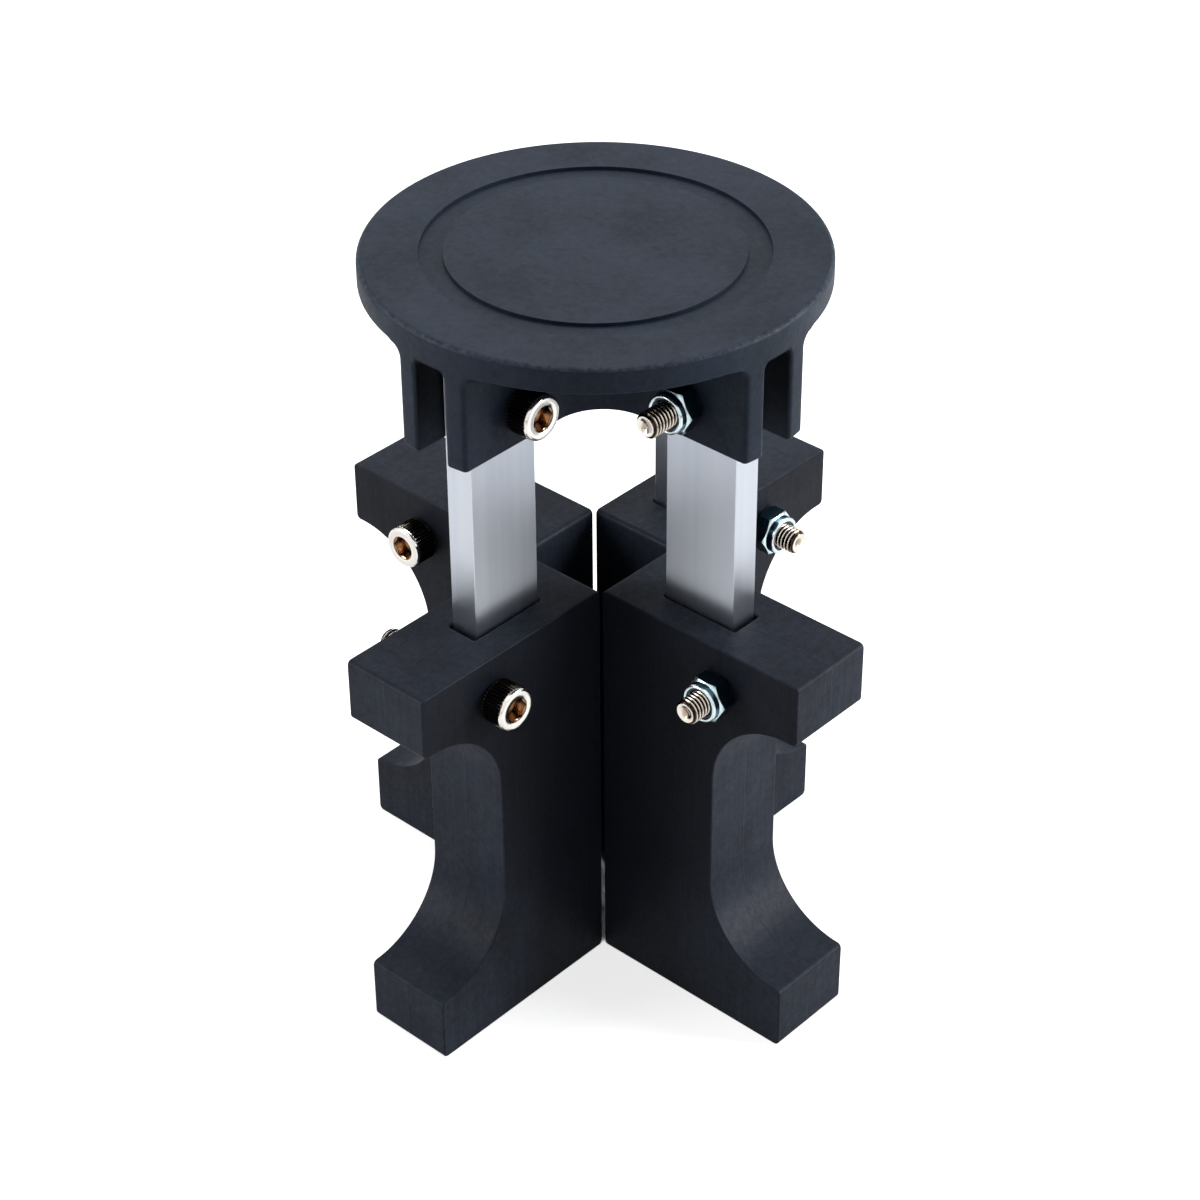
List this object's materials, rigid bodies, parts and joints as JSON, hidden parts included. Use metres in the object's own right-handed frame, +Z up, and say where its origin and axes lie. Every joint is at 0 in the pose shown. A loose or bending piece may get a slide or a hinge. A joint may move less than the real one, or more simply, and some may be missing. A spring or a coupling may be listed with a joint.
{
  "type": "conga riser",
  "caption": "Folding floor riser for a conga drum: a moulded hub with hinged flat bars that carry C-shaped feet, shown folded into a short column.",
  "frame": {"origin": "on the floor, on the vertical axis of the hub, with the riser folded and standing on its feet", "axes": "+Z up; +X towards arm 1, +Y towards arm 2, the arms counted counterclockwise from above"},
  "size_m": [0.112, 0.112, 0.1493],
  "materials": {
    "hub_plastic": "moulded, fine matte texture, blue-black",
    "foot_plastic": "moulded, fine matte texture, near black",
    "aluminium": "satin, brushed along the bar",
    "nickel": "bright nickel plate",
    "zinc": "bright bluish zinc plate",
    "nylon": "plain nylon"
  },
  "bodies": {
    "hub": {"hub": "hub_plastic", "pivot_screw_1": "nickel", "pivot_locknut_1": "zinc", "pivot_nut_insert_1": "nylon", "pivot_screw_2": "nickel", "pivot_locknut_2": "zinc", "pivot_nut_insert_2": "nylon", "pivot_screw_3": "nickel", "pivot_locknut_3": "zinc", "pivot_nut_insert_3": "nylon", "pivot_screw_4": "nickel", "pivot_locknut_4": "zinc", "pivot_nut_insert_4": "nylon"},
    "arm_1": {"bar_1": "aluminium", "foot_1": "foot_plastic", "foot_screw_1": "nickel", "foot_locknut_1": "zinc", "foot_nut_insert_1": "nylon"},
    "arm_2": {"bar_2": "aluminium", "foot_2": "foot_plastic", "foot_screw_2": "nickel", "foot_locknut_2": "zinc", "foot_nut_insert_2": "nylon"},
    "arm_3": {"bar_3": "aluminium", "foot_3": "foot_plastic", "foot_screw_3": "nickel", "foot_locknut_3": "zinc", "foot_nut_insert_3": "nylon"},
    "arm_4": {"bar_4": "aluminium", "foot_4": "foot_plastic", "foot_screw_4": "nickel", "foot_locknut_4": "zinc", "foot_nut_insert_4": "nylon"}
  },
  "joints": [
    {"name": "arm_1_fold", "type": "hinge", "parent": "hub", "child": "arm_1", "pos_m": [0.0276, 0, 0.132], "axis": [0, -1, 0], "range_deg": [0, 90]},
    {"name": "arm_2_fold", "type": "hinge", "parent": "hub", "child": "arm_2", "pos_m": [0, 0.0276, 0.132], "axis": [1, 0, 0], "range_deg": [0, 90]},
    {"name": "arm_3_fold", "type": "hinge", "parent": "hub", "child": "arm_3", "pos_m": [-0.0276, 0, 0.132], "axis": [0, 1, 0], "range_deg": [0, 90]},
    {"name": "arm_4_fold", "type": "hinge", "parent": "hub", "child": "arm_4", "pos_m": [0, -0.0276, 0.132], "axis": [-1, 0, 0], "range_deg": [0, 90]}
  ]
}
